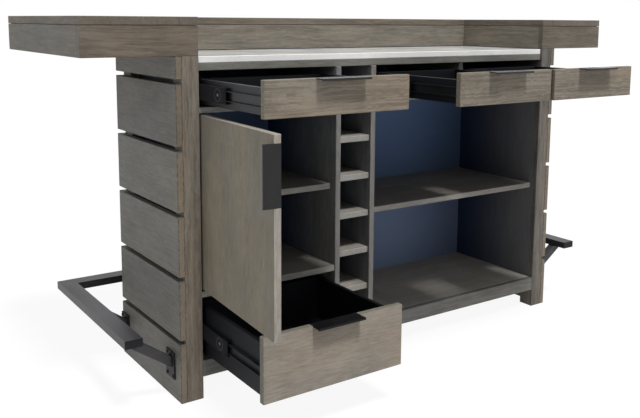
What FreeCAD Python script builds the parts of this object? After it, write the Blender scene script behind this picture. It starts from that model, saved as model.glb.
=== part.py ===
import FreeCAD, Part
import math
import os

# Dining bar with a raised U-shaped bar top, a lower worktop, drawers, a door, shelves and a foot rail.
# Lengths are in millimetres. While building, x = 0 is the middle of the bar, y = 0 is the staff-side
# face of the posts with +y towards the customer side, and z = 0 is the floor.

# Carcass
bar_height = 1067.0
carcass_width = 1490.0
carcass_depth = 441.0
panel_thickness = 18.0
edge_ease = 1.2
overrun = 5.0

# Ends: posts with planks on the outside
post_width = 49.5
post_depth = 56.0
lining_setback = 18.0
plank_thickness = 18.0
bottom_plank_height = 170.0
plank_height = 167.0
plank_groove = 13.0

# Base
base_clearance = 64.0
base_rail_height = 47.0

# Bays, from the left end
door_bay_width = 450.0
bottle_bay_width = 114.0
bottom_drawer_opening = 183.0
deck_thickness = 16.0
top_drawer_opening = 98.5

# Shelves
drawer_shelf_setback = 3.0
bottle_shelf_count = 5
bottle_shelf_setback = 8.0
loose_shelf_setback = 28.0
loose_shelf_play = 1.0
door_shelf_height_share = 0.492
wide_shelf_row_count = 3
pin_radius = 2.5
pin_clearance = 0.05
pin_depth = 9.0
pin_reach = 8.0
pin_front_inset = 75.0
pin_rear_inset = 85.0

# Worktop
sub_top_thickness = 21.0
slab_thickness = 17.5
slab_play = 1.0
worktop_setback = 6.0

# Bar top
overhang = 250.0
top_board_thickness = 22.0
border_width = 54.0
apron_height = 81.0
apron_thickness = 18.0
apron_clearance = 1.5
top_joint_gap = 1.2
top_joint_depth = 6.0
rear_board_lap = 5.0
bearer_thickness = 22.0
soffit_thickness = 9.0

# Drawer fronts and boxes
front_thickness = 18.0
front_gap = 2.0
front_side_gap = 4.0
top_pull_gap = 3.5
bottom_pull_gap = 6.5
drawer_rear_clearance = 11.0
drawer_side_thickness = 12.0
drawer_bottom_thickness = 6.0
drawer_bottom_lift = 5.0
top_box_lift = 6.5
top_box_height = 67.0
bottom_box_lift = 12.0
bottom_box_height = 140.0

# How far the drawers stand out, as shares of their depth, and how far the door stands open
left_drawer_out_share = 0.903
middle_drawer_out_share = 0.979
right_drawer_out_share = 0.997
bottom_drawer_out_share = 0.874
door_open_angle = 93.7

# Slides
slide_thickness = 12.7
slide_height = 45.0
slide_inner_height = 26.0
slide_gauge = 1.2
slide_running_gap = 0.5
slide_lip_gap = 1.5
slide_setback = 2.0
slide_level_share = 0.5

# Pulls
pull_length = 150.0
pull_thickness = 2.5
pull_reach = 28.0
pull_lip = 3.0
pull_bend_radius = 2.0
door_pull_drop = 21.0

# Door and its pivots
door_gap = 3.5
door_hinge_gap = 5.0
door_edge_gap = 5.0
pivot_edge_inset = 5.0
pivot_face_inset = 5.0
pivot_pin_radius = 3.0
pivot_running_clearance = 0.05
pivot_pin_length = 13.0
pivot_end_clearance = 1.0
pivot_plate_thickness = 2.0
pivot_plate_length = 45.0
pivot_plate_depth = 10.0

# Foot rail
rail_offset = 158.0
rail_width = 50.0
rail_height = 23.0
rail_top = 218.0
rail_wall = 2.0
rail_cap_thickness = 3.0
bracket_width = 55.0
bracket_height = 78.0
bracket_thickness = 5.0
bracket_level = 98.0
bracket_inset = 64.0
end_bracket_rear_inset = 30.0
rear_bracket_count = 3
strut_size = 25.0
strut_foot_lift = 8.0
screw_radius = 2.5
screw_clearance = 0.1
screw_depth = 14.0
screw_head_radius = 5.0
screw_head_height = 3.0
screw_inset = 8.5

# Places that follow from the sizes above
half_width = carcass_width / 2
core_half = half_width - plank_thickness
inner_half = core_half - post_width
core_back = carcass_depth - plank_thickness
back_face = core_back - panel_thickness
lining_outside = inner_half + panel_thickness
bar_half = half_width + overhang
bar_back = carcass_depth + overhang
board_bottom = bar_height - top_board_thickness
end_height = board_bottom - apron_height
apron_top = board_bottom - top_joint_gap
rear_board_front = back_face - rear_board_lap
drawer_box_depth = back_face - front_thickness - drawer_rear_clearance
bearer_inside = inner_half + apron_thickness
bearer_outside = bearer_inside + bearer_thickness
rear_bearer_front = rear_board_front + apron_thickness
rear_bearer_back = rear_bearer_front + bearer_thickness

base_top = base_clearance + base_rail_height
drawer_shelf_bottom = base_top + bottom_drawer_opening
drawer_shelf_top = drawer_shelf_bottom + panel_thickness
slab_top = end_height - apron_clearance
slab_bottom = slab_top - slab_thickness
sub_top_bottom = slab_bottom - sub_top_thickness
deck_top = sub_top_bottom - top_drawer_opening
deck_bottom = deck_top - deck_thickness

left_divider_left = -inner_half + door_bay_width
left_divider_right = left_divider_left + panel_thickness
right_divider_left = left_divider_right + bottle_bay_width
right_divider_right = right_divider_left + panel_thickness
drawer_divider_middle = (right_divider_right + inner_half) / 2
drawer_divider_left = drawer_divider_middle - panel_thickness / 2
drawer_divider_right = drawer_divider_middle + panel_thickness / 2

bottle_room = deck_bottom - base_top - bottle_shelf_count * panel_thickness
bottle_clear = bottle_room / (bottle_shelf_count + 1)
bottle_pitch = bottle_clear + panel_thickness
wide_shelf_bottom = base_top + wide_shelf_row_count * bottle_pitch - panel_thickness
door_bay_clear = deck_bottom - drawer_shelf_top
door_shelf_bottom = drawer_shelf_top + door_shelf_height_share * (door_bay_clear - panel_thickness)

door_left = -inner_half + door_hinge_gap
door_right = left_divider_left - door_edge_gap
door_bottom = drawer_shelf_top + door_gap
door_top = deck_bottom - door_gap
pivot_x = door_left + pivot_edge_inset

rail_outer_half = half_width + rail_offset
rail_inner_half = rail_outer_half - rail_width
rail_outer_back = carcass_depth + rail_offset
rail_inner_back = rail_outer_back - rail_width
rail_bottom = rail_top - rail_height

ORIGIN = FreeCAD.Vector(0, 0, 0)
ALONG = FreeCAD.Vector(1, 0, 0)
INWARD = FreeCAD.Vector(0, 1, 0)
UP = FreeCAD.Vector(0, 0, 1)
quarter_turn_angle = 90


def block(x0, x1, y0, y1, z0, z1):
    """A box between pairs of faces; each pair may come in either order."""
    low = FreeCAD.Vector(min(x0, x1), min(y0, y1), min(z0, z1))
    return Part.makeBox(abs(x1 - x0), abs(y1 - y0), abs(z1 - z0), low)


def board(x0, x1, y0, y1, z0, z1):
    """A box with its edges eased."""
    sharp = block(x0, x1, y0, y1, z0, z1)
    return sharp.makeChamfer(edge_ease, sharp.Edges)


def group(shapes):
    """Separate solids that share one node."""
    return Part.makeCompound(list(shapes))


def prism(points, direction):
    """A straight extrusion of the polygon through the points."""
    return Part.Face(Part.makePolygon(points + points[:1])).extrude(direction)


def mirrored(shape):
    """The same piece at the other end of the bar."""
    return shape.mirror(ORIGIN, ALONG)


def plank_levels():
    """Bottom and top of each plank, from the floor up to the bar top."""
    levels = [(0, bottom_plank_height)]
    bottom = bottom_plank_height + plank_groove
    while bottom + plank_groove < end_height:
        levels.append((bottom, min(bottom + plank_height, end_height)))
        bottom += plank_height + plank_groove
    return levels


# Foot rail and its brackets

def rail_tube(outline, bore):
    """Rectangular tube from its mitred outline and bore seen from above."""
    tube = prism([FreeCAD.Vector(x, y, rail_bottom) for x, y in outline], UP * rail_height)
    floor = rail_bottom + rail_wall
    hollow = prism([FreeCAD.Vector(x, y, floor) for x, y in bore], UP * (rail_height - rail_wall * 2))
    return tube.cut(hollow)


def foot_rail_side():
    front = rail_cap_thickness
    outside = rail_outer_half - rail_wall
    inside = rail_inner_half + rail_wall
    outline = [(-rail_outer_half, front), (-rail_inner_half, front),
               (-rail_inner_half, rail_inner_back), (-rail_outer_half, rail_outer_back)]
    bore = [(-outside, front - overrun), (-inside, front - overrun),
            (-inside, rail_inner_back + rail_wall), (-outside, rail_outer_back - rail_wall)]
    return rail_tube(outline, bore)


def foot_rail_rear():
    outside = rail_outer_half - rail_wall
    inside = rail_inner_half + rail_wall
    outline = [(-rail_outer_half, rail_outer_back), (-rail_inner_half, rail_inner_back),
               (rail_inner_half, rail_inner_back), (rail_outer_half, rail_outer_back)]
    bore = [(-outside, rail_outer_back - rail_wall), (-inside, rail_inner_back + rail_wall),
            (inside, rail_inner_back + rail_wall), (outside, rail_outer_back - rail_wall)]
    return rail_tube(outline, bore)


def foot_rail_caps():
    cap = block(-rail_outer_half, -rail_inner_half, 0, rail_cap_thickness, rail_bottom, rail_top)
    return group([cap, mirrored(cap)])


def bracket_spots():
    """Point on the plank face and outward direction of each bracket."""
    spots = []
    for y in (bracket_inset, carcass_depth - end_bracket_rear_inset):
        spots.append((FreeCAD.Vector(-half_width, y, bracket_level), -ALONG))
        spots.append((FreeCAD.Vector(half_width, y, bracket_level), ALONG))
    end = half_width - bracket_inset
    for number in range(rear_bracket_count):
        x = end * (2 * number / (rear_bracket_count - 1) - 1)
        spots.append((FreeCAD.Vector(x, carcass_depth, bracket_level), INWARD))
    return spots


def screw_points(spot, outward):
    """Where the four screws of a bracket enter the plank."""
    side = outward.cross(UP) * (bracket_width / 2 - screw_inset)
    rise = UP * (bracket_height / 2 - screw_inset)
    return [spot + side + rise, spot + side - rise, spot - side + rise, spot - side - rise]


def all_screws():
    """Entry point and outward direction of every bracket screw."""
    screws = []
    for spot, outward in bracket_spots():
        screws += [(point, outward) for point in screw_points(spot, outward)]
    return screws


def screw_holes():
    """Holes through the bracket plates and into the planks."""
    holes = []
    length = screw_depth + bracket_thickness + overrun
    for point, outward in all_screws():
        start = point - outward * screw_depth
        holes.append(Part.makeCylinder(screw_radius + screw_clearance, length, start, outward))
    return group(holes)


def bracket_screw(point, outward):
    seat = point + outward * bracket_thickness
    head = Part.makeCylinder(screw_head_radius, screw_head_height, seat, outward)
    tip = seat + outward * screw_head_height
    rim = [edge for edge in head.Edges if edge.BoundBox.Center.isEqual(tip, screw_head_height / 2)]
    head = head.makeFillet(screw_head_height / 2, rim)
    length = screw_depth + bracket_thickness
    return head.fuse(Part.makeCylinder(screw_radius, length, point - outward * screw_depth, outward))


def bracket_screws():
    return group(bracket_screw(point, outward) for point, outward in all_screws())


def bracket_plate(spot, outward):
    across = outward.cross(UP) * bracket_width
    rise = UP * bracket_height
    corner = spot - across / 2 - rise / 2
    outline = [corner, corner + across, corner + across + rise, corner + rise]
    return prism(outline, outward * bracket_thickness)


def bracket_plates():
    plates = group(bracket_plate(*spot) for spot in bracket_spots())
    return plates.cut(screw_holes())


def bracket_strut(spot, outward):
    """Square bar from the plate up to the middle of the rail's underside."""
    across = outward.cross(UP) * strut_size
    run = rail_offset - rail_width / 2 - bracket_thickness
    rise = rail_bottom - bracket_level - strut_foot_lift
    slope = math.atan2(rise, run)
    half_foot = UP * (strut_size / math.cos(slope) / 2)
    half_head = outward * (strut_size / math.sin(slope) / 2)
    foot = spot + outward * bracket_thickness + UP * strut_foot_lift - across / 2
    head = foot + outward * run + UP * rise
    return prism([foot - half_foot, head + half_head, head - half_head, foot + half_foot], across)


def bracket_struts():
    return group(bracket_strut(*spot) for spot in bracket_spots())


# Ends and customer side

def front_posts():
    """Posts whose inner side is cut back for the lining, down to the foot."""
    post = board(-core_half, -inner_half, 0, post_depth, 0, end_height)
    seat = block(-lining_outside, -inner_half + overrun, lining_setback, post_depth + overrun,
                 base_clearance, end_height + overrun)
    post = post.cut(seat)
    return group([post, mirrored(post)])


def rear_posts():
    post = board(-core_half, -lining_outside, core_back - post_depth, core_back, 0, end_height)
    return group([post, mirrored(post)])


def left_end_planks():
    planks = [board(-half_width, -core_half, 0, carcass_depth, low, high) for low, high in plank_levels()]
    return group(planks).cut(screw_holes())


def rear_planks():
    planks = [board(-core_half, core_half, core_back, carcass_depth, *levels) for levels in plank_levels()]
    return group(planks).cut(screw_holes())


def side_panels():
    panel = block(-lining_outside, -inner_half, lining_setback, back_face, base_clearance, end_height)
    return group([panel, mirrored(panel)]).cut(shelf_pin_holes())


def back_panel():
    return block(-lining_outside, lining_outside, back_face, core_back, base_clearance, end_height)


# Carcass inside

def bottom_panel():
    return block(-inner_half, inner_half, panel_thickness, back_face, base_top - panel_thickness, base_top)


def base_rails():
    front = board(-inner_half, inner_half, 0, panel_thickness, base_clearance, base_top)
    rear = board(-inner_half, inner_half, back_face - panel_thickness, back_face,
                 base_clearance, base_top - panel_thickness)
    return group([front, rear])


def left_divider():
    divider = board(left_divider_left, left_divider_right, 0, back_face, base_top, sub_top_bottom)
    return divider.cut(shelf_pin_holes())


def right_divider():
    divider = board(right_divider_left, right_divider_right, 0, back_face, base_top, sub_top_bottom)
    return divider.cut(shelf_pin_holes())


def drawer_divider():
    front = front_thickness + front_gap
    return board(drawer_divider_left, drawer_divider_right, front, back_face, deck_top, sub_top_bottom)


def drawer_decks():
    bays = [(-inner_half, left_divider_left), (left_divider_right, right_divider_left),
            (right_divider_right, inner_half)]
    return group(board(left, right, 0, back_face, deck_bottom, deck_top) for left, right in bays)


def drawer_bay_shelf():
    return board(-inner_half, left_divider_left, drawer_shelf_setback, back_face,
                 drawer_shelf_bottom, drawer_shelf_top)


def bottle_shelves():
    shelves = []
    for number in range(bottle_shelf_count):
        bottom = base_top + bottle_clear + number * bottle_pitch
        shelves.append(board(left_divider_right, right_divider_left, bottle_shelf_setback, back_face,
                             bottom, bottom + panel_thickness))
    return group(shelves)


def loose_shelf(left, right, bottom):
    """A shelf that lies on pins."""
    return board(left + loose_shelf_play, right - loose_shelf_play, loose_shelf_setback,
                 back_face - loose_shelf_play, bottom, bottom + panel_thickness)


def door_bay_shelf():
    return loose_shelf(-inner_half, left_divider_left, door_shelf_bottom)


def wide_shelf():
    return loose_shelf(right_divider_right, inner_half, wide_shelf_bottom)


def shelf_pin_seats():
    """Bottom of the hole and direction into the bay of every shelf pin."""
    walls = [(-inner_half, door_shelf_bottom, ALONG), (left_divider_left, door_shelf_bottom, -ALONG),
             (right_divider_right, wide_shelf_bottom, ALONG), (inner_half, wide_shelf_bottom, -ALONG)]
    seats = []
    for x, shelf_bottom, out in walls:
        for y in (pin_front_inset, back_face - pin_rear_inset):
            seats.append((FreeCAD.Vector(x, y, shelf_bottom - pin_radius) - out * pin_depth, out))
    return seats


def shelf_pin_holes():
    radius = pin_radius + pin_clearance
    return group(Part.makeCylinder(radius, pin_depth + overrun, seat, out) for seat, out in shelf_pin_seats())


def shelf_pins():
    return group(Part.makeCylinder(pin_radius, pin_depth + pin_reach, seat, out)
                 for seat, out in shelf_pin_seats())


# Worktop and bar top

def sub_top():
    return board(-inner_half, inner_half, worktop_setback, back_face, sub_top_bottom, slab_bottom)


def worktop_slab():
    side = inner_half - slab_play
    return board(-side, side, worktop_setback, rear_board_front, slab_bottom, slab_top)


def left_wing_board():
    return board(-bar_half, -inner_half - border_width, 0, bar_back, board_bottom, bar_height)


def rear_bar_board():
    side = inner_half + border_width
    return board(-side, side, rear_board_front + border_width, bar_back, board_bottom, bar_height)


def inner_border_strips():
    side = inner_half + border_width
    wing = board(-side, -inner_half, 0, rear_board_front, board_bottom, bar_height)
    rear = board(-side, side, rear_board_front, rear_board_front + border_width, board_bottom, bar_height)
    return group([wing, mirrored(wing), rear])


def top_joint():
    """Slot that sets the aprons off from the boards above them, along the outside and along the well."""
    far = board_bottom + overrun
    side = bar_half - top_joint_depth
    well_side = inner_half + top_joint_depth
    rim = block(-bar_half - overrun, bar_half + overrun, -overrun, bar_back + overrun, apron_top, far)
    core = block(-side, side, top_joint_depth, bar_back - top_joint_depth, apron_top, far)
    well = block(-well_side, well_side, -overrun, rear_board_front + top_joint_depth, apron_top, far)
    return rim.cut(core).fuse(well)


def wing_front_aprons():
    wing = board(-bar_half, -inner_half, 0, apron_thickness, end_height, board_bottom)
    return group([wing, mirrored(wing)]).cut(top_joint())


def outer_aprons():
    inside = bar_half - apron_thickness
    wing = board(-bar_half, -inside, apron_thickness, bar_back, end_height, board_bottom)
    rear = board(-inside, inside, bar_back - apron_thickness, bar_back, end_height, board_bottom)
    return group([wing, mirrored(wing), rear]).cut(top_joint())


def inner_aprons():
    wing = board(-bearer_inside, -inner_half, apron_thickness, rear_bearer_front, end_height, board_bottom)
    rear = board(-inner_half, inner_half, rear_board_front, rear_bearer_front, end_height, board_bottom)
    return group([wing, mirrored(wing), rear]).cut(top_joint())


def top_bearers():
    """Battens on the posts and the rear wall that carry the bar top."""
    wing = block(-bearer_outside, -bearer_inside, apron_thickness, rear_bearer_back, end_height, board_bottom)
    rear = block(-bearer_inside, bearer_inside, rear_bearer_front, rear_bearer_back, end_height, board_bottom)
    return group([wing, mirrored(wing), rear])


def soffits():
    """Thin boards that close the bar top from below."""
    inside = bar_half - apron_thickness
    back = bar_back - apron_thickness
    top = end_height + soffit_thickness
    wing = block(-inside, -bearer_outside, apron_thickness, back, end_height, top)
    rear = block(-bearer_outside, bearer_outside, rear_bearer_back, back, end_height, top)
    return group([wing, mirrored(wing), rear])


# Slides, one pair to a drawer

def channel(web, lip, inward, middle, height, flange):
    """Channel along a drawer box, from its web to the tips of its flanges."""
    front = front_thickness + slide_setback
    rear = front_thickness + drawer_box_depth
    bar = block(web, lip, front, rear, middle - height / 2, middle + height / 2)
    half_inside = height / 2 - flange
    inside = block(web + inward * slide_gauge, lip + inward * overrun, front - overrun, rear + overrun,
                   middle - half_inside, middle + half_inside)
    return bar.cut(inside)


def slide_members(wall, inward, middle):
    """Outer member, intermediate member with its ball cages, and inner member of one slide on a wall."""
    step = slide_gauge + slide_running_gap
    lip = wall + inward * (slide_thickness - slide_lip_gap)
    between_height = slide_height - step * 2
    cage = (between_height - slide_inner_height) / 2 - slide_running_gap
    outer = channel(wall, lip, inward, middle, slide_height, slide_gauge)
    between = channel(wall + inward * step, lip, inward, middle, between_height, cage)
    inner = channel(wall + inward * slide_thickness, wall + inward * step * 2, -inward, middle,
                    slide_inner_height, slide_gauge)
    return outer, between, inner


# Drawers

def pull_plate():
    """Bent plate let flush into an edge along x; it reaches out towards -y and turns down at its nose."""
    nose = -pull_reach
    under = -pull_thickness
    lip = under - pull_lip
    profile = [(front_thickness, under), (front_thickness, 0), (nose, 0), (nose, lip),
               (nose + pull_thickness, lip), (nose + pull_thickness, under)]
    plate = prism([FreeCAD.Vector(-pull_length / 2, y, z) for y, z in profile], ALONG * pull_length)
    bend = FreeCAD.Vector(0, nose, 0)
    edges = [edge for edge in plate.Edges if edge.BoundBox.Center.isEqual(bend, pull_thickness / 2)]
    return plate.makeFillet(pull_bend_radius, edges)


def pull_seat():
    """Rebate for the plate in the edge that it lies in."""
    half = pull_length / 2
    return block(-half, half, -overrun, front_thickness + overrun, -pull_thickness, overrun)


def drawer_box(left, right, bottom, height):
    """Two sides, front, back and bottom board as separate pieces."""
    front = front_thickness
    rear = front + drawer_box_depth
    top = bottom + height
    inside_left = left + drawer_side_thickness
    inside_right = right - drawer_side_thickness
    inside_front = front + drawer_side_thickness
    inside_rear = rear - drawer_side_thickness
    floor = bottom + drawer_bottom_lift
    pieces = [board(left, inside_left, front, rear, bottom, top)]
    pieces.append(board(inside_right, right, front, rear, bottom, top))
    pieces.append(board(inside_left, inside_right, front, inside_front, bottom, top))
    pieces.append(board(inside_left, inside_right, inside_rear, rear, bottom, top))
    pieces.append(block(inside_left, inside_right, inside_front, inside_rear,
                        floor, floor + drawer_bottom_thickness))
    return group(pieces)


def drawer(opening, front_sides, levels, pull_gap, box_lift, box_height, out_share):
    """All pieces of one drawer, pulled out of its opening, and the outer members of its slides."""
    left, right = opening
    front_left, front_right = front_sides
    bottom = levels[0] + front_gap
    top = levels[1] - pull_gap
    box_bottom = bottom + box_lift
    slide_middle = box_bottom + box_height * slide_level_share
    slides = [slide_members(left, 1, slide_middle), slide_members(right, -1, slide_middle)]
    pull = pull_plate()
    seat = pull_seat()
    for shape in (pull, seat):
        shape.translate(FreeCAD.Vector((front_left + front_right) / 2, 0, top))
    front = board(front_left, front_right, 0, front_thickness, bottom, top)
    pieces = {"front": front.cut(seat), "pull": pull}
    pieces["box"] = drawer_box(left + slide_thickness, right - slide_thickness, box_bottom, box_height)
    pieces["inner_slides"] = group(slide[2] for slide in slides)
    way_out = INWARD * (-drawer_box_depth * out_share)
    for piece in pieces.values():
        piece.translate(way_out)
    pieces["intermediate_slides"] = group(slide[1] for slide in slides)
    pieces["intermediate_slides"].translate(way_out / 2)
    return pieces, [slide[0] for slide in slides]


def drawers():
    """Every drawer's pieces by node name, and all outer slide members."""
    row = (deck_top, sub_top_bottom)
    low = (base_top, drawer_shelf_bottom)
    door_bay = (-inner_half, left_divider_left)
    middle_bay = (right_divider_right, drawer_divider_left)
    right_bay = (drawer_divider_right, inner_half)
    door_bay_front = (-inner_half + front_side_gap, left_divider_left - front_side_gap)
    middle_front = (right_divider_right + front_side_gap, drawer_divider_middle - front_side_gap)
    right_front = (drawer_divider_middle + front_side_gap, inner_half - front_side_gap)
    shallow = (top_pull_gap, top_box_lift, top_box_height)
    deep = (bottom_pull_gap, bottom_box_lift, bottom_box_height)
    plans = {"left_drawer": (door_bay, door_bay_front, row, *shallow, left_drawer_out_share),
             "middle_drawer": (middle_bay, middle_front, row, *shallow, middle_drawer_out_share),
             "right_drawer": (right_bay, right_front, row, *shallow, right_drawer_out_share),
             "bottom_drawer": (door_bay, door_bay_front, low, *deep, bottom_drawer_out_share)}
    nodes = {}
    outer_members = []
    for name, plan in plans.items():
        pieces, outer = drawer(*plan)
        nodes.update({name + "_" + piece: shape for piece, shape in pieces.items()})
        outer_members += outer
    nodes["slide_outer_members"] = group(outer_members)
    return nodes


# Door

def opened(shape):
    """A piece of the closed door, swung open about its pivots."""
    shape.rotate(FreeCAD.Vector(pivot_x, pivot_face_inset, 0), -UP, door_open_angle)
    return shape


def on_door_edge(shape):
    """A shape made for an edge along x, turned upright onto the free edge of the closed door."""
    shape.rotate(ORIGIN, INWARD, quarter_turn_angle)
    shape.translate(FreeCAD.Vector(door_right, 0, door_top - door_pull_drop - pull_length / 2))
    return shape


def door_panel():
    panel = board(door_left, door_right, 0, front_thickness, door_bottom, door_top)
    panel = panel.cut(on_door_edge(pull_seat()))
    radius = pivot_pin_radius + pivot_running_clearance
    depth = pivot_plate_thickness + pivot_pin_length - door_gap + pivot_end_clearance
    for level, way in ((door_bottom, UP), (door_top, -UP)):
        start = FreeCAD.Vector(pivot_x, pivot_face_inset, level) - way * overrun
        panel = panel.cut(Part.makeCylinder(radius, depth + overrun, start, way))
    return opened(panel)


def door_pull():
    """The drawers' bent plate, upright in the free edge of the door."""
    return opened(on_door_edge(pull_plate()))


def door_pivot(level, way):
    """Plate on the carcass with the pin that the door turns on."""
    front = pivot_face_inset - pivot_plate_depth / 2
    far = level + way.z * pivot_plate_thickness
    plate = block(-inner_half, -inner_half + pivot_plate_length, front, front + pivot_plate_depth, level, far)
    start = FreeCAD.Vector(pivot_x, pivot_face_inset, level)
    pin = Part.makeCylinder(pivot_pin_radius, pivot_plate_thickness + pivot_pin_length, start, way)
    return plate.fuse(pin).removeSplitter()


def door_pivots():
    return group([door_pivot(drawer_shelf_top, UP), door_pivot(deck_bottom, -UP)])


def all_nodes():
    """Every node of the bar by name."""
    nodes = {"front_posts": front_posts(), "rear_posts": rear_posts()}
    nodes["left_end_planks"] = left_end_planks()
    nodes["right_end_planks"] = mirrored(left_end_planks())
    nodes["rear_planks"] = rear_planks()
    nodes["side_panels"] = side_panels()
    nodes["back_panel"] = back_panel()
    nodes["bottom_panel"] = bottom_panel()
    nodes["base_rails"] = base_rails()
    nodes["left_divider"] = left_divider()
    nodes["right_divider"] = right_divider()
    nodes["drawer_divider"] = drawer_divider()
    nodes["drawer_decks"] = drawer_decks()
    nodes["drawer_bay_shelf"] = drawer_bay_shelf()
    nodes["door_bay_shelf"] = door_bay_shelf()
    nodes["wide_shelf"] = wide_shelf()
    nodes["bottle_shelves"] = bottle_shelves()
    nodes["shelf_pins"] = shelf_pins()
    nodes["sub_top"] = sub_top()
    nodes["worktop_slab"] = worktop_slab()
    nodes["left_wing_board"] = left_wing_board()
    nodes["right_wing_board"] = mirrored(left_wing_board())
    nodes["rear_bar_board"] = rear_bar_board()
    nodes["inner_border_strips"] = inner_border_strips()
    nodes["wing_front_aprons"] = wing_front_aprons()
    nodes["outer_aprons"] = outer_aprons()
    nodes["inner_aprons"] = inner_aprons()
    nodes["top_bearers"] = top_bearers()
    nodes["soffits"] = soffits()
    nodes["foot_rail_left"] = foot_rail_side()
    nodes["foot_rail_right"] = mirrored(foot_rail_side())
    nodes["foot_rail_rear"] = foot_rail_rear()
    nodes["foot_rail_caps"] = foot_rail_caps()
    nodes["bracket_plates"] = bracket_plates()
    nodes["bracket_struts"] = bracket_struts()
    nodes["bracket_screws"] = bracket_screws()
    nodes["door_pivots"] = door_pivots()
    nodes["door_panel"] = door_panel()
    nodes["door_pull"] = door_pull()
    nodes.update(drawers())
    return nodes


def main():
    """Set the origin on the floor under the middle of the whole bar and write every node."""
    nodes = all_nodes()
    box = group(nodes.values()).BoundBox
    shift = FreeCAD.Vector(-box.Center.x, -box.Center.y, -box.ZMin)
    os.makedirs("parts", exist_ok=True)
    for name, shape in nodes.items():
        shape.translate(shift)
        shape.exportStep("parts/" + name + ".step")
    print("nodes", len(nodes), "shift", shift.x, shift.y, shift.z)
    print("size", box.XLength, box.YLength, box.ZLength)


main()
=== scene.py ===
import math
import random

import bmesh
import bpy
import numpy as np
from mathutils import Matrix, Vector


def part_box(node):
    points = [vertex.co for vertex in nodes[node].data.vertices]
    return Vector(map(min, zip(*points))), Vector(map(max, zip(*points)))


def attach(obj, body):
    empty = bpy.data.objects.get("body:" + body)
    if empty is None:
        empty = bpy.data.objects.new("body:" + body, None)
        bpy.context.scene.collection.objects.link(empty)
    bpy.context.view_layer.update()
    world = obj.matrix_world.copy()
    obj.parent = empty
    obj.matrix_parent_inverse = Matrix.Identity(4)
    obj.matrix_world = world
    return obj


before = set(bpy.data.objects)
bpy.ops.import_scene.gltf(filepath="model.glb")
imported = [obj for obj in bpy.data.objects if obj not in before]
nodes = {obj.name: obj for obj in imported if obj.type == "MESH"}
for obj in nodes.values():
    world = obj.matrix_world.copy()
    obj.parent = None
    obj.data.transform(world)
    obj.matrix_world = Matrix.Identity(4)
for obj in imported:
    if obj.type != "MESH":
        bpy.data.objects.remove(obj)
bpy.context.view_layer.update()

DRAWERS = ("left_drawer", "middle_drawer", "right_drawer", "bottom_drawer")


# Board coordinates: where each point lies on its own board, measured along the grain, across it and
# through it, with the board's size and three random numbers beside it.

WELD_DIGITS = 6
FACING = 0.9
DOOR_PIECES = ("door_panel", "door_pull")
DOOR_OPEN = math.radians(93.7)
# Tones of single boards, in the order in which they are stored: 0 is dark and 1 is light.
# Some are painted light and shade: the plank set below 0 is darkened as painted shade from the wing
# above it, and the two front posts are set far apart, one lit lighter and one shaded darker.
TONES = {"left_end_planks": (0.45, 0.30, 0.60, 0.65, -0.25, 0.40), "front_posts": (0.85, 0.05)}


def split_solids(mesh, points):
    """Polygon indices of each closed solid in the mesh, in the order they are stored."""
    number = {}
    weld = [number.setdefault(tuple(np.round(p, WELD_DIGITS)), len(number)) for p in points]
    solids, current, open_edges = [], [], set()
    for polygon in mesh.polygons:
        ring = [weld[v] for v in polygon.vertices]
        for a, b in zip(ring, ring[1:] + ring[:1]):
            if a != b:
                open_edges ^= {(min(a, b), max(a, b))}
        current.append(polygon.index)
        if not open_edges:
            solids.append(current)
            current = []
    return solids + [current] if current else solids


def lay_boards(obj, turn=0.0):
    """Write board coordinates to the mesh; turn brings a swung piece square to the axes first.

    Faces across the grain are marked as ends, and a board's two widest faces as flats.
    """
    mesh = obj.data
    spin = np.array(Matrix.Rotation(turn, 3, "Z"))
    points = np.array([v.co for v in mesh.vertices]) @ spin.T
    place, size, chance = np.zeros((3, len(points), 3))
    ends, flats = np.zeros((2, len(mesh.polygons)))
    for count, solid in enumerate(split_solids(mesh, points)):
        corners = sorted({v for index in solid for v in mesh.polygons[index].vertices})
        low = points[corners].min(0)
        extent = points[corners].max(0) - low
        order = np.argsort(-extent, kind="stable")
        place[corners] = (points[corners] - low)[:, order]
        size[corners] = extent[order]
        pick = random.Random(obj.name + str(count))
        chance[corners] = [pick.random(), pick.random(), pick.random()]
        if obj.name in TONES:
            chance[corners, 0] = TONES[obj.name][count]
        for index in solid:
            normal = spin @ np.array(mesh.polygons[index].normal)
            ends[index] = abs(normal[order[0]]) > FACING
            flats[index] = abs(normal[order[2]]) > FACING
    for name, values in (("place", place), ("size", size), ("chance", chance)):
        data = mesh.attributes.new(name, "FLOAT_VECTOR", "POINT").data
        data.foreach_set("vector", values.astype(np.float32).ravel())
    for name, values in (("end", ends), ("flat", flats)):
        data = mesh.attributes.new(name, "FLOAT", "FACE").data
        data.foreach_set("value", values.astype(np.float32))


# Shader graphs. Noise scales are counts per metre along, across and through the grain.

BOARD_SHIFT = (9.0, 7.0, 5.0)
EDGE_RAGGED = (30.0, 60.0, 60.0)


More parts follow.
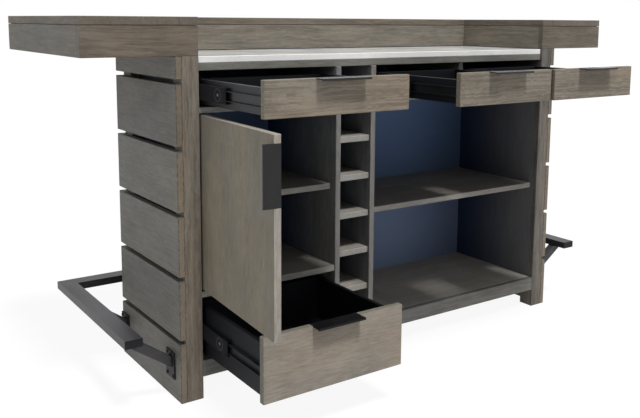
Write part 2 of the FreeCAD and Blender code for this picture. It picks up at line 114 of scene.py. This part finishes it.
class Graph:
    """A material under construction, with one short call for each kind of node."""

    def __init__(self, name):
        self.material = bpy.data.materials.new(name)
        self.material.use_nodes = True
        self.tree = self.material.node_tree
        self.tree.nodes.clear()

    def put(self, target, value):
        """Link a socket to the target, or set a plain value there."""
        if isinstance(value, bpy.types.NodeSocket):
            self.tree.links.new(value, target)
        elif target.type == "RGBA" and len(value) == 3:
            target.default_value = (*value, 1.0)
        else:
            target.default_value = value

    def node(self, kind, inputs=(), **settings):
        made = self.tree.nodes.new(kind)
        for key, value in settings.items():
            setattr(made, key, value)
        for key, value in dict(inputs).items():
            self.put(made.inputs[key], value)
        return made

    def attribute(self, name, output="Vector"):
        return self.node("ShaderNodeAttribute", attribute_name=name).outputs[output]

    def math(self, operation, a, b=0.0, c=0.0, clamp=False):
        made = self.node("ShaderNodeMath", {0: a, 1: b, 2: c}, operation=operation, use_clamp=clamp)
        return made.outputs[0]

    def scaled(self, value, factor):
        return self.math("MULTIPLY", value, factor)

    def varied(self, base, noise, reach):
        """The base, moved up and down by the noise over the given reach."""
        return self.math("MULTIPLY_ADD", self.math("SUBTRACT", noise, 0.5), reach, base)

    def vector(self, operation, a, b):
        return self.node("ShaderNodeVectorMath", {0: a, 1: b}, operation=operation).outputs[0]

    def split(self, vector):
        return self.node("ShaderNodeSeparateXYZ", {0: vector}).outputs

    def join(self, x, y, z):
        return self.node("ShaderNodeCombineXYZ", {0: x, 1: y, 2: z}).outputs[0]

    def noise(self, vector, scale, detail=2.0, roughness=0.5, distortion=0.0):
        stretched = self.vector("MULTIPLY", vector, scale)
        inputs = {"Vector": stretched, "Scale": 1.0, "Detail": detail, "Roughness": roughness,
                  "Distortion": distortion}
        return self.node("ShaderNodeTexNoise", inputs).outputs["Fac"]

    def cells(self, vector, scale):
        """Distance from the nearest of many scattered points."""
        inputs = {"Vector": self.vector("MULTIPLY", vector, scale), "Scale": 1.0}
        return self.node("ShaderNodeTexVoronoi", inputs, feature="F1").outputs["Distance"]

    def fit(self, value, source, target=(0.0, 1.0)):
        """Map the source range to the target range smoothly, held at the ends."""
        inputs = {"Value": value, "From Min": source[0], "From Max": source[1],
                  "To Min": target[0], "To Max": target[1]}
        return self.node("ShaderNodeMapRange", inputs, interpolation_type="SMOOTHSTEP").outputs[0]

    def blend(self, factor, a, b, mode="MIX"):
        made = self.node("ShaderNodeMix", data_type="RGBA", blend_type=mode)
        for socket, value in ((made.inputs["Factor"], factor), (made.inputs[6], a), (made.inputs[7], b)):
            self.put(socket, value)
        return made.outputs[2]

    def tinted(self, colour, tint):
        return self.blend(1.0, colour, tint, "MULTIPLY")

    def grain(self, place):
        """Board coordinates moved to a stretch of the noise that is the board's own."""
        return self.vector("ADD", place, self.vector("MULTIPLY", self.attribute("chance"), BOARD_SHIFT))

    def edges(self, width, place):
        """One along the piece's outer edges, falling to zero over the width, worn unevenly."""
        size = self.attribute("size")
        x, y, z = self.split(self.vector("MINIMUM", place, self.vector("SUBTRACT", size, place)))
        near = self.math("MAXIMUM", self.math("MINIMUM", x, y),
                         self.math("MINIMUM", self.math("MAXIMUM", x, y), z))
        ragged = self.noise(place, EDGE_RAGGED, detail=3.0, roughness=0.6)
        reach = self.scaled(self.fit(ragged, (0.35, 0.75), (0.25, 1.0)), width)
        return self.math("SUBTRACT", 1.0, self.math("DIVIDE", near, reach), clamp=True)

    def surface(self, colour, roughness, height, depth, **inputs):
        """Close the graph with one shader; depth is how deep the relief is, in metres."""
        bump = self.node("ShaderNodeBump", {"Height": height, "Strength": 1.0, "Distance": depth})
        sockets = {"Base Color": colour, "Roughness": roughness, "Normal": bump.outputs[0]}
        sockets.update({key.replace("_", " "): value for key, value in inputs.items()})
        shader = self.node("ShaderNodeBsdfPrincipled", sockets)
        self.node("ShaderNodeOutputMaterial", {0: shader.outputs[0]})
        return self.material


def linear(red, green, blue):
    """A display colour, 0 to 255, as linear light."""
    channels = [c / 255 for c in (red, green, blue)]
    return tuple(c / 12.92 if c <= 0.04045 else ((c + 0.055) / 1.055) ** 2.4 for c in channels)


# Oak: how strongly each layer of the grain shows, and its finish

STRIPS_PER_METRE = 2.2
STRIP_SHIFT = (6.0, 4.0, 3.0)
DRIFT = 0.03
DASH_SHARE = 0.35
FIBRE_SHARE = 0.35
CLOUD_SHARE = 0.40
FIGURE_SPAN = 0.22
PORE_SHARE = 0.5
GREEN_CHILL = 0.4
DAMP_TINT = (0.97, 1.0, 1.03)
DRY_TINT = (1.03, 1.0, 0.96)
END_TUBES = (900.0, 900.0, 900.0)
END_SHARE = 0.30
FIBRE_RELIEF = 0.5
PORE_RELIEF = 0.8
WAVE_RELIEF = 0.4
OAK_RELIEF = 0.0004
OAK_ROUGHNESS = 0.6
OAK_SPECULAR = 0.3


def glued_strips(g, grain, draw, width):
    """Grain and tone of a board that is glued up from strips of the given width."""
    spot = g.split(grain)
    column = g.math("FLOOR", g.math("DIVIDE", spot[1], width))
    shift = g.node("ShaderNodeTexWhiteNoise", {"W": column}, noise_dimensions="1D").outputs["Value"]
    row = g.math("FLOOR", g.math("MULTIPLY_ADD", spot[0], STRIPS_PER_METRE, shift))
    strip = g.join(row, column, draw)
    cell = g.node("ShaderNodeTexWhiteNoise", {"Vector": strip}, noise_dimensions="3D").outputs
    return g.vector("ADD", grain, g.vector("MULTIPLY", cell["Color"], STRIP_SHIFT)), cell["Value"]


def oak(name, light, dark, pore, edge, figure=0.5, wave=0.004, pitch=1.0, lamella=0.0, spread=0.05,
        shade_chill=0.0, stain_and_painted_light=None, fade=None, side=None, tip=None, joint=0.0022, worn=0.5):
    """Brushed oak: wavy figure, streaks, fibres, pores and worn edges, on board coordinates.

    The four colours are display colours. The figure's strength, its waves' height and their pitch shape
    the grain, and lamella is the width of glued strips. Boards differ in tone by the spread, and dark
    ones are bluer by cool, as painted shade. Flat faces are tinted by stain, the board's colour on most
    boards and painted light on some, which turns to fade across the board, as painted shade towards the
    back; narrow faces by side, painted light on some boards and painted shade on others, and ends by tip.
    The edges' line is joint wide, and worn is its strength.
    """
    g = Graph(name)
    light, dark, pore, edge = (linear(*colour) for colour in (light, dark, pore, edge))
    place = g.attribute("place")
    grain = g.grain(place)
    draws = g.split(g.attribute("chance"))
    tone = draws[0]
    if lamella:
        grain, tone = glued_strips(g, grain, draws[1], lamella)

    drift = g.noise(grain, (2.2, 4.0, 4.0), detail=1.0)
    shiver = g.noise(grain, (17.0 * pitch, 9.0, 9.0))
    sway = g.varied(g.varied(0.0, drift, DRIFT), shiver, 2.0 * wave)
    along, across, through = g.split(grain)
    bent = g.join(along, g.math("ADD", across, sway), g.math("ADD", through, sway))
    waves = g.noise(bent, (5.0, 95.0 * pitch, 95.0 * pitch), roughness=0.55)
    dashes = g.noise(bent, (22.0, 210.0, 210.0), roughness=0.6)
    fibres = g.noise(bent, (11.0, 720.0, 720.0), roughness=0.65)
    flecks = g.noise(bent, (42.0, 1250.0, 1250.0), detail=1.0)
    clouds = g.noise(grain, (6.0, 12.0, 12.0), detail=3.0, roughness=0.6)
    pores = g.math("MULTIPLY", g.fit(flecks, (0.58, 0.72)), g.fit(waves, (0.35, 0.65), (0.3, 1.0)))

    mixed = g.scaled(waves, figure)
    for layer, share in ((dashes, DASH_SHARE), (fibres, FIBRE_SHARE), (clouds, CLOUD_SHARE)):
        mixed = g.math("MULTIPLY_ADD", layer, share, mixed)
    middle = (figure + DASH_SHARE + FIBRE_SHARE + CLOUD_SHARE) / 2
    wood = g.blend(g.fit(mixed, (middle - FIGURE_SPAN, middle + FIGURE_SPAN)), dark, light)
    wood = g.blend(g.scaled(pores, PORE_SHARE), wood, pore)
    shade = g.varied(1.0, tone, 2.0 * spread)
    # Dark boards are made bluer by cool: painted shade on the darker boards.
    chill = g.math("MULTIPLY_ADD", tone, -shade_chill, 1.0 + shade_chill)
    green = g.math("MULTIPLY", shade, g.math("POWER", chill, GREEN_CHILL))
    blue = g.math("MULTIPLY", shade, chill)
    wood = g.tinted(wood, g.join(shade, green, blue))
    drying = g.fit(g.noise(grain, (2.5, 6.0, 6.0)), (0.35, 0.65))
    wood = g.tinted(wood, g.blend(drying, DAMP_TINT, DRY_TINT))

    cut = g.attribute("end", "Fac")
    tubes = g.fit(g.cells(grain, END_TUBES), (0.15, 0.6))
    wood = g.blend(g.scaled(cut, END_SHARE), wood, g.blend(tubes, pore, light))
    flat = g.attribute("flat", "Fac")
    # The stain on flat faces turns to fade across the board: fade is painted shade, darker towards the
    # back; the stain is the board's colour on most boards and painted light on the bottom panel.
    if fade:
        depth = g.math("DIVIDE", g.split(place)[1], g.split(g.attribute("size"))[1])
        stain_and_painted_light = g.blend(g.fit(depth, (0.0, 1.0)), stain_and_painted_light, fade)
    if stain_and_painted_light:
        wood = g.blend(flat, wood, g.tinted(wood, stain_and_painted_light))
    # side tints the narrow faces: painted light on the door's edges, painted shade on the deep drawer
    # front's edges and partly on the dividers' front edges.
    if side:
        wood = g.blend(flat, g.tinted(wood, side), wood)
    if tip:
        wood = g.blend(cut, wood, g.tinted(wood, tip))
    wood = g.blend(g.scaled(g.edges(joint, place), worn), wood, edge)

    height = g.math("SUBTRACT", g.scaled(fibres, FIBRE_RELIEF), g.scaled(pores, PORE_RELIEF))
    height = g.math("MULTIPLY_ADD", waves, WAVE_RELIEF, height)
    gloss = g.varied(OAK_ROUGHNESS, fibres, 0.35)
    return g.surface(wood, gloss, height, OAK_RELIEF, Specular_IOR_Level=OAK_SPECULAR)


# Paint, coated metal and stone

PAINT_EDGE = 0.0016
PAINT_EDGE_SHARE = 0.5
PAINT_FIBRE_SHARE = 0.3
PAINT_RELIEF = 0.0003
PAINT_SHEEN = (0.86, 0.91, 1.0)
COAT_EDGE = 0.0012
COAT_EDGE_SHARE = 0.6
COAT_SMEAR_SHARE = 0.45
COAT_SCUFF_SHARE = 0.5
COAT_RELIEF = 0.00012
END_STOP = (0.014, 0.017)
END_STOP_COLOUR = (5, 5, 6)
STONE_LIGHT = (244, 244, 242)
STONE_DARK = (234, 234, 232)
STONE_VEIN = (188, 188, 190)
STONE_SPECK = (186, 184, 180)
# A painted highlight along the slab's edges, and a painted reflection of the aprons darkening its top.
STONE_EDGE_HIGHLIGHT = (246, 246, 245)
STONE_TOP_REFLECTION = (0.70, 0.70, 0.69)
STONE_RELIEF = 0.00003


def painted_board(name, colour, worn, edge_wear_and_highlight, mottle=0.25, rough=0.62, specular=0.35, painted_low_light=None):
    """Paint on board, with faint fibre marks, mottling and edges in the rim colour: rubbed wear, and on the
    first drawer box a painted highlight.

    With a dust colour the board is paler low down, as painted bounce light, and darker at its left end and
    its right corner, as painted shade.
    """
    g = Graph(name)
    colour, worn, edge_wear_and_highlight = (linear(*shade) for shade in (colour, worn, edge_wear_and_highlight))
    place = g.attribute("place")
    grain = g.grain(place)
    fibres = g.noise(grain, (7.0, 420.0, 420.0), detail=3.0, roughness=0.65)
    clouds = g.noise(grain, (3.0, 5.0, 5.0), detail=4.0, roughness=0.6)
    paint = g.blend(g.scaled(g.fit(clouds, (0.3, 0.75)), mottle), colour, worn)
    paint = g.blend(g.scaled(g.fit(fibres, (0.5, 0.75)), PAINT_FIBRE_SHARE), paint, worn)
    # Edges in the rim colour: rubbed wear, and a painted highlight on the black board.
    paint = g.blend(g.scaled(g.edges(PAINT_EDGE, place), PAINT_EDGE_SHARE), paint, edge_wear_and_highlight)
    # Painted bounce light low down, and painted shade at the left end and the right corner.
    if painted_low_light:
        spot = g.split(g.vector("DIVIDE", place, g.attribute("size")))
        along, up = spot[0], spot[1]
        paint = g.blend(g.fit(up, (0.15, 0.62), (1.0, 0.0)), paint, linear(*painted_low_light))
        right_corner_shade = g.fit(along, (0.72, 1.0), (1.0, 0.55))
        left_end_shade = g.fit(along, (0.31, 0.37), (0.5, 1.0))
        corner_shade = g.math("MULTIPLY", right_corner_shade, left_end_shade)
        paint = g.tinted(paint, g.join(corner_shade, corner_shade, corner_shade))
    skin = g.noise(place, (900.0, 900.0, 900.0))
    height = g.math("ADD", g.scaled(fibres, 0.6), g.scaled(skin, 0.3))
    gloss = g.varied(rough, clouds, 0.25)
    return g.surface(paint, gloss, height, PAINT_RELIEF, Specular_IOR_Level=specular,
                     Specular_Tint=PAINT_SHEEN)


def coated_metal(name, colour, worn, rough, metallic=0.35, specular=0.5, capped=False):
    """Powder-coated steel: fine orange peel, faint smears, scuffs and thin edges.

    A capped strip has a black end stop at its front end.
    """
    g = Graph(name)
    colour, worn = linear(*colour), linear(*worn)
    place = g.attribute("place")
    grain = g.grain(place)
    peel = g.noise(grain, (520.0, 520.0, 520.0))
    smear = g.noise(grain, (5.0, 18.0, 18.0), detail=4.0, roughness=0.6)
    scratch = g.noise(grain, (11.0, 900.0, 900.0), roughness=0.6)
    scuffs = g.math("MULTIPLY", g.fit(scratch, (0.62, 0.74)), g.fit(smear, (0.5, 0.7)))
    coat = g.blend(g.scaled(g.fit(smear, (0.3, 0.8)), COAT_SMEAR_SHARE), colour, worn)
    coat = g.blend(g.scaled(scuffs, COAT_SCUFF_SHARE), coat, worn)
    coat = g.blend(g.scaled(g.edges(COAT_EDGE, place), COAT_EDGE_SHARE), coat, worn)
    if capped:
        near_front = g.fit(g.split(place)[0], END_STOP, (1.0, 0.0))
        coat = g.blend(near_front, coat, linear(*END_STOP_COLOUR))
    height = g.math("SUBTRACT", peel, g.scaled(scuffs, 0.5))
    gloss = g.varied(rough, smear, 0.3)
    return g.surface(coat, gloss, height, COAT_RELIEF, Metallic=metallic, Specular_IOR_Level=specular)


def stone(name):
    """Polished white stone with fine specks, faint clouds and veins, a painted highlight on its edges, and
    its top darkened as a painted reflection.
    """
    g = Graph(name)
    place = g.attribute("place")
    clouds = g.noise(place, (5.0, 5.0, 5.0), detail=4.0, roughness=0.6)
    vein = g.noise(place, (2.2, 3.0, 3.0), detail=6.0, roughness=0.65, distortion=0.8)
    line = g.fit(g.math("ABSOLUTE", g.math("SUBTRACT", vein, 0.5)), (0.0, 0.02), (1.0, 0.0))
    speck = g.fit(g.cells(place, (420.0, 420.0, 420.0)), (0.16, 0.05))
    slab = g.blend(g.fit(clouds, (0.3, 0.7)), linear(*STONE_DARK), linear(*STONE_LIGHT))
    slab = g.blend(g.scaled(line, 0.10), slab, linear(*STONE_VEIN))
    slab = g.blend(g.scaled(speck, 0.3), slab, linear(*STONE_SPECK))
    # Painted highlight on the edges, and a painted reflection darkening the top.
    slab = g.blend(g.scaled(g.edges(0.0018, place), 0.5), slab, linear(*STONE_EDGE_HIGHLIGHT))
    slab = g.blend(g.attribute("flat", "Fac"), slab, g.tinted(slab, STONE_TOP_REFLECTION))
    gloss = g.fit(clouds, (0.3, 0.7), (0.14, 0.24))
    return g.surface(slab, gloss, g.noise(place, (160.0, 160.0, 160.0), detail=3.0), STONE_RELIEF)


# Materials, in display colours, and the nodes that have them

OAKS = {
    "grey_oak": dict(light=(120, 110, 98), dark=(84, 77, 69), pore=(60, 54, 48), edge=(56, 51, 45)),
    # Outer aprons: a greyer, bluer copy of the grey oak, as painted cool light on faces that look out to
    # the ends.
    "apron_oak": dict(light=(111, 107, 100), dark=(82, 79, 74), pore=(58, 56, 52), edge=(52, 49, 45)),
    # Inner aprons: a lighter copy of the grey oak, partly painted bounce light from the white slab.
    "inner_oak": dict(light=(134, 127, 116), dark=(95, 90, 82), pore=(66, 62, 56), edge=(60, 56, 50)),
    "sub_oak": dict(light=(130, 129, 122), dark=(100, 99, 94), pore=(76, 75, 71), edge=(108, 107, 101)),
    "foot_oak": dict(light=(120, 119, 114), dark=(88, 87, 84), pore=(62, 61, 59), edge=(104, 103, 99)),
    # Posts: cool makes the darker post bluer, as painted shade.
    "post_oak": dict(light=(127, 117, 104), dark=(88, 81, 72), pore=(58, 53, 47), edge=(48, 44, 39),
                     figure=0.7, wave=0.006, spread=0.12, worn=0.8, shade_chill=0.2),
    "end_oak": dict(light=(122, 119, 113), dark=(89, 87, 82), pore=(63, 61, 58), edge=(40, 39, 37),
                    figure=0.3, spread=0.12, worn=1.0, tip=(1.22, 1.05, 0.88), joint=0.0042),
    "front_oak": dict(light=(137, 127, 113), dark=(105, 96, 85), pore=(76, 69, 61), edge=(150, 141, 128),
                      figure=1.1, wave=0.0055, pitch=1.8, side=(0.88, 0.92, 0.90)),
    # Deep drawer front: side darkens its narrow faces as painted shade.
    "deep_oak": dict(light=(150, 140, 128), dark=(115, 107, 97), pore=(80, 74, 66), edge=(150, 142, 129),
                     figure=0.1, wave=0.003, side=(0.62, 0.68, 0.66)),
    # Door: side lightens its narrow edges as painted light.
    "door_oak": dict(light=(136, 129, 115), dark=(107, 100, 89), pore=(75, 71, 63), edge=(186, 180, 166),
                     figure=0.2, worn=0.7, side=(1.5, 1.55, 1.72)),
    "shelf_oak": dict(light=(152, 146, 138), dark=(126, 121, 114), pore=(90, 86, 81), edge=(178, 172, 162),
                      lamella=0.082, spread=0.12, stain_and_painted_light=(0.90, 0.90, 0.91), side=(1.1, 1.15, 1.2)),
    # Bottom panel: the stain lightens its flat faces as painted bounce light.
    "base_oak": dict(light=(156, 150, 142), dark=(130, 125, 118), pore=(94, 90, 85), edge=(178, 172, 162),
                     lamella=0.082, spread=0.12, stain_and_painted_light=(1.36, 1.38, 1.39)),
    # Left divider: fade darkens it towards the back as painted shade; side darkens its front edges, partly
    # as painted shade.
    "lined_oak": dict(light=(150, 144, 135), dark=(114, 109, 102), pore=(78, 75, 70), edge=(166, 160, 150),
                      figure=0.3, stain_and_painted_light=(1.05, 1.15, 1.28), fade=(0.10, 0.25, 0.70),
                      side=(0.85, 0.91, 1.0)),
    "deck_oak": dict(light=(150, 144, 135), dark=(114, 109, 102), pore=(78, 75, 70), edge=(166, 160, 150),
                     figure=0.3, stain_and_painted_light=(0.80, 0.82, 0.86), side=(0.9, 0.95, 1.02)),
    # Right divider: fade darkens it towards the back as painted shade; side darkens its front edges, partly
    # as painted shade.
    "cubby_oak": dict(light=(150, 144, 135), dark=(114, 109, 102), pore=(78, 75, 70), edge=(166, 160, 150),
                      figure=0.3, stain_and_painted_light=(0.58, 0.66, 0.78), fade=(0.08, 0.20, 0.58),
                      side=(0.85, 0.91, 1.0)),
    # Side panels: fade darkens them towards the back as painted shade.
    "side_oak": dict(light=(142, 136, 128), dark=(124, 119, 112), pore=(96, 92, 86), edge=(120, 118, 114),
                     figure=0.3, stain_and_painted_light=(0.63, 0.66, 0.75), fade=(0.07, 0.14, 0.38)),
    "raw_board": dict(light=(132, 120, 102), dark=(104, 94, 80), pore=(78, 70, 59), edge=(148, 138, 120)),
}
PAINTS = {
    # Back panel: dust makes it paler low down, as painted bounce light.
    "blue_board": dict(colour=(84, 109, 150), worn=(106, 127, 163), edge_wear_and_highlight=(112, 132, 158),
                       painted_low_light=(119, 136, 168)),
    # First drawer box: rim is a painted highlight along its edges.
    "black_board": dict(colour=(17, 17, 20), worn=(34, 34, 38), edge_wear_and_highlight=(128, 128, 134), mottle=0.3, rough=0.42,
                        specular=0.4),
    "deep_board": dict(colour=(14, 15, 19), worn=(28, 29, 34), edge_wear_and_highlight=(40, 41, 46), mottle=0.3, rough=0.55,
                       specular=0.14),
}
METALS = {
    "black_metal": dict(colour=(20, 20, 22), worn=(44, 44, 47), rough=0.55, specular=0.3),
    "pull_metal": dict(colour=(13, 13, 15), worn=(34, 34, 37), rough=0.26, metallic=0.0, specular=0.36),
    "deep_pull": dict(colour=(11, 11, 12), worn=(26, 26, 28), rough=0.3, metallic=0.0, specular=0.16),
    "rail_metal": dict(colour=(43, 42, 46), worn=(77, 75, 79), rough=0.42),
    "strut_metal": dict(colour=(50, 50, 52), worn=(80, 80, 83), rough=0.5),
    "slide_steel": dict(colour=(24, 25, 28), worn=(70, 71, 76), rough=0.36, metallic=0.5),
    "slide_web": dict(colour=(16, 17, 21), worn=(36, 37, 42), rough=0.6, metallic=0.0, specular=0.12,
                      capped=True),
    "ring_steel": dict(colour=(36, 37, 41), worn=(62, 63, 68), rough=0.55, metallic=0.2, specular=0.35),
    "head_steel": dict(colour=(110, 110, 113), worn=(146, 146, 149), rough=0.4, metallic=0.8),
    "bright_steel": dict(colour=(150, 150, 152), worn=(196, 196, 198), rough=0.3, metallic=1.0),
}
materials = {"white_stone": stone("white_stone")}
for finish, table in ((oak, OAKS), (painted_board, PAINTS), (coated_metal, METALS)):
    for name, values in table.items():
        materials[name] = finish(name, **values)

MEMBERS = {
    "grey_oak": ("left_wing_board", "right_wing_board", "rear_bar_board", "inner_border_strips",
                 "wing_front_aprons"),
    "apron_oak": ("outer_aprons",),
    "inner_oak": ("inner_aprons",),
    "sub_oak": ("sub_top",),
    "foot_oak": ("base_rails",),
    "post_oak": ("front_posts", "rear_posts"),
    "end_oak": ("left_end_planks", "right_end_planks", "rear_planks"),
    "front_oak": ("left_drawer_front", "middle_drawer_front", "right_drawer_front"),
    "deep_oak": ("bottom_drawer_front",),
    "door_oak": ("door_panel",),
    "shelf_oak": ("drawer_bay_shelf", "door_bay_shelf", "wide_shelf", "bottle_shelves"),
    "base_oak": ("bottom_panel",),
    "lined_oak": ("left_divider",),
    "deck_oak": ("drawer_divider", "drawer_decks"),
    "cubby_oak": ("right_divider",),
    "side_oak": ("side_panels",),
    "raw_board": ("top_bearers", "soffits"),
    "blue_board": ("back_panel",),
    "black_board": ("left_drawer_box",),
    "deep_board": ("middle_drawer_box", "right_drawer_box", "bottom_drawer_box"),
    "black_metal": ("foot_rail_caps", "bracket_plates", "bracket_screws", "door_pivots",
                    "bottom_drawer_inner_slides"),
    "pull_metal": ("door_pull", "left_drawer_pull", "middle_drawer_pull", "right_drawer_pull"),
    "deep_pull": ("bottom_drawer_pull",),
    "rail_metal": ("foot_rail_left", "foot_rail_right", "foot_rail_rear"),
    "strut_metal": ("bracket_struts",),
    "slide_steel": ("slide_outer_members", "left_drawer_inner_slides", "middle_drawer_inner_slides",
                    "right_drawer_inner_slides"),
    "slide_web": tuple(drawer + "_intermediate_slides" for drawer in DRAWERS),
    "bright_steel": ("shelf_pins",),
    "white_stone": ("worktop_slab",),
}
looks = {node: look for look, members in MEMBERS.items() for node in members}
for name, obj in nodes.items():
    lay_boards(obj, DOOR_OPEN if name in DOOR_PIECES else 0.0)
    obj.data.materials.clear()
    obj.data.materials.append(materials[looks[name]])


# Slide rivets: a domed head inside a raised ring, near the front end of each intermediate member.
# Profiles are pairs of a radius and a rise, in metres.

RIVET_BACK = 0.046
RIVET_HEAD = ((0.0042, -0.0002), (0.0039, 0.00015), (0.0030, 0.00028), (0.0016, 0.00034))
RIVET_RING = ((0.0148, -0.0002), (0.0152, 0.0002), (0.0165, 0.00032), (0.0178, 0.0002), (0.0182, -0.0002))
RIVET_STEPS = 32
RIVET_LOOKS = ("ring_steel", "head_steel")


def turned(made, profile, centre, outward, ring, look):
    """Add a solid turned about X, rising in the outward direction; a ring is open in the middle."""
    angles = [2 * math.pi * step / RIVET_STEPS for step in range(RIVET_STEPS)]
    rounds = []
    for radius, rise in profile:
        spots = [(outward * rise, radius * math.cos(a), radius * math.sin(a)) for a in angles]
        rounds.append([made.verts.new(centre + Vector(spot)) for spot in spots])
    pairs = list(zip(rounds, rounds[1:]))
    if ring:
        pairs.append((rounds[-1], rounds[0]))
    corners = [(a[i - 1], a[i], b[i], b[i - 1]) for a, b in pairs for i in range(RIVET_STEPS)]
    if not ring:
        corners += [rounds[0], rounds[-1]]
    for corner in corners:
        face = made.faces.new(corner)
        face.material_index = RIVET_LOOKS.index(look)
        face.smooth = True


def slide_rivets(drawer):
    """One rivet on the outer side of each of the drawer's two intermediate members."""
    low, high = (Vector(corner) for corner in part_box(drawer + "_intermediate_slides"))
    made = bmesh.new()
    for x, outward in ((low.x, -1), (high.x, 1)):
        centre = Vector((x, low.y + RIVET_BACK, (low.z + high.z) / 2))
        turned(made, RIVET_RING, centre, outward, True, "ring_steel")
        turned(made, RIVET_HEAD, centre, outward, False, "head_steel")
    bmesh.ops.recalc_face_normals(made, faces=made.faces)
    mesh = bpy.data.meshes.new(drawer + "_slide_rivets")
    made.to_mesh(mesh)
    made.free()
    rivets = bpy.data.objects.new(mesh.name, mesh)
    bpy.context.scene.collection.objects.link(rivets)
    lay_boards(rivets)
    for look in RIVET_LOOKS:
        mesh.materials.append(materials[look])
    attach(rivets, drawer + "_slides")


for drawer in DRAWERS:
    slide_rivets(drawer)


# Stage, lights and camera

FLOOR_REACH = 30.0
FLOOR_BOUNCE = 0.65
FLOOR_SHADOW = 0.08
WHITE = (1, 1, 1, 1)
SOFT_LIGHT = 0.36
KEY_HEIGHT = math.radians(66)
KEY_DISTANCE = 8.0
KEY_STRENGTH = 3.2
KEY_WIDTH = math.radians(11)
FILL_PLACE = (-4.0, -1.2, 2.6)
FILL_AIM = (-0.7, 0.0, 0.5)
FILL_SIZE = 2.4
FILL_WATTS = 16
FILL_COLOUR = (0.90, 1.0, 1.05)
SENSOR_WIDTH = 36.0
LENS = 45.551
LENS_SHIFT = (-0.01138, -0.11481)
PAN = math.radians(-34.63)
TILT = math.radians(90 - 8.07)
ROLL = math.radians(0.39)
# From the middle of the bar, the front of its posts and the floor
CAMERA_PLACE = (-1.62291, -1.97369, 1.05894)


def seen_rays(tree):
    """One for the rays that show the background to the camera, in a gloss or through a piece."""
    light_path = tree.nodes.new("ShaderNodeLightPath")
    seen = light_path.outputs["Is Camera Ray"]
    for ray in ("Is Glossy Ray", "Is Transmission Ray"):
        either = tree.nodes.new("ShaderNodeMath")
        either.operation = "MAXIMUM"
        tree.links.new(seen, either.inputs[0])
        tree.links.new(light_path.outputs[ray], either.inputs[1])
        seen = either.outputs[0]
    return seen


def stage_floor():
    """A pale floor that shows white, and keeps a light shadow of the bar."""
    mesh = bpy.data.meshes.new("floor")
    corners = [(x * FLOOR_REACH, y * FLOOR_REACH, 0) for x, y in ((-1, -1), (1, -1), (1, 1), (-1, 1))]
    mesh.from_pydata(corners, [], [(0, 1, 2, 3)])
    floor = bpy.data.objects.new("floor", mesh)
    bpy.context.scene.collection.objects.link(floor)
    g = Graph("floor")
    seen = seen_rays(g.tree)
    grey = g.math("MULTIPLY_ADD", seen, FLOOR_SHADOW - FLOOR_BOUNCE, FLOOR_BOUNCE)
    bounce = g.node("ShaderNodeBsdfDiffuse", {"Color": g.join(grey, grey, grey)})
    lift = g.node("ShaderNodeEmission", {"Strength": g.scaled(seen, 1.0 - FLOOR_SHADOW)})
    both = g.node("ShaderNodeAddShader", {0: bounce.outputs[0], 1: lift.outputs[0]})
    g.node("ShaderNodeOutputMaterial", {0: both.outputs[0]})
    mesh.materials.append(g.material)


def background(tree, strength):
    made = tree.nodes.new("ShaderNodeBackground")
    made.inputs["Color"].default_value = WHITE
    made.inputs["Strength"].default_value = strength
    return made.outputs[0]


def white_world():
    """White where it is seen, and a soft light from all round elsewhere."""
    world = bpy.data.worlds.new("studio")
    bpy.context.scene.world = world
    world.use_nodes = True
    tree = world.node_tree
    tree.nodes.clear()
    either = tree.nodes.new("ShaderNodeMixShader")
    output = tree.nodes.new("ShaderNodeOutputWorld")
    tree.links.new(seen_rays(tree), either.inputs[0])
    tree.links.new(background(tree, SOFT_LIGHT), either.inputs[1])
    tree.links.new(background(tree, 1.0), either.inputs[2])
    tree.links.new(either.outputs[0], output.inputs[0])


def aimed(name, lamp, place, aim):
    light = bpy.data.objects.new(name, lamp)
    light.location = place
    light.rotation_euler = (Vector(aim) - Vector(place)).to_track_quat("-Z", "Y").to_euler()
    bpy.context.scene.collection.objects.link(light)


def studio_lights():
    """A high far key straight in front of the staff side, and a wide soft fill at the left end."""
    key = bpy.data.lights.new("key", "SUN")
    key.energy = KEY_STRENGTH
    key.angle = KEY_WIDTH
    key_place = (0.0, -KEY_DISTANCE * math.cos(KEY_HEIGHT), KEY_DISTANCE * math.sin(KEY_HEIGHT))
    aimed("key", key, key_place, (0.0, 0.0, 0.0))
    fill = bpy.data.lights.new("fill", "AREA")
    fill.size = FILL_SIZE
    fill.energy = FILL_WATTS
    fill.color = FILL_COLOUR
    aimed("fill", fill, FILL_PLACE, FILL_AIM)


def photo_camera():
    """A camera where the photo was taken from, with the photo's framing."""
    data = bpy.data.cameras.new("photo")
    data.sensor_width = SENSOR_WIDTH
    data.lens = LENS
    data.shift_x, data.shift_y = LENS_SHIFT
    camera = bpy.data.objects.new("photo", data)
    turn = Matrix.Rotation(PAN, 4, "Z") @ Matrix.Rotation(TILT, 4, "X") @ Matrix.Rotation(ROLL, 4, "Z")
    bar_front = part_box("front_posts")[0][1]
    x, y, z = CAMERA_PLACE
    camera.matrix_world = Matrix.Translation((x, bar_front + y, z)) @ turn
    bpy.context.scene.collection.objects.link(camera)
    bpy.context.scene.camera = camera


stage_floor()
white_world()
studio_lights()
photo_camera()
bpy.context.scene.view_settings.view_transform = "Standard"
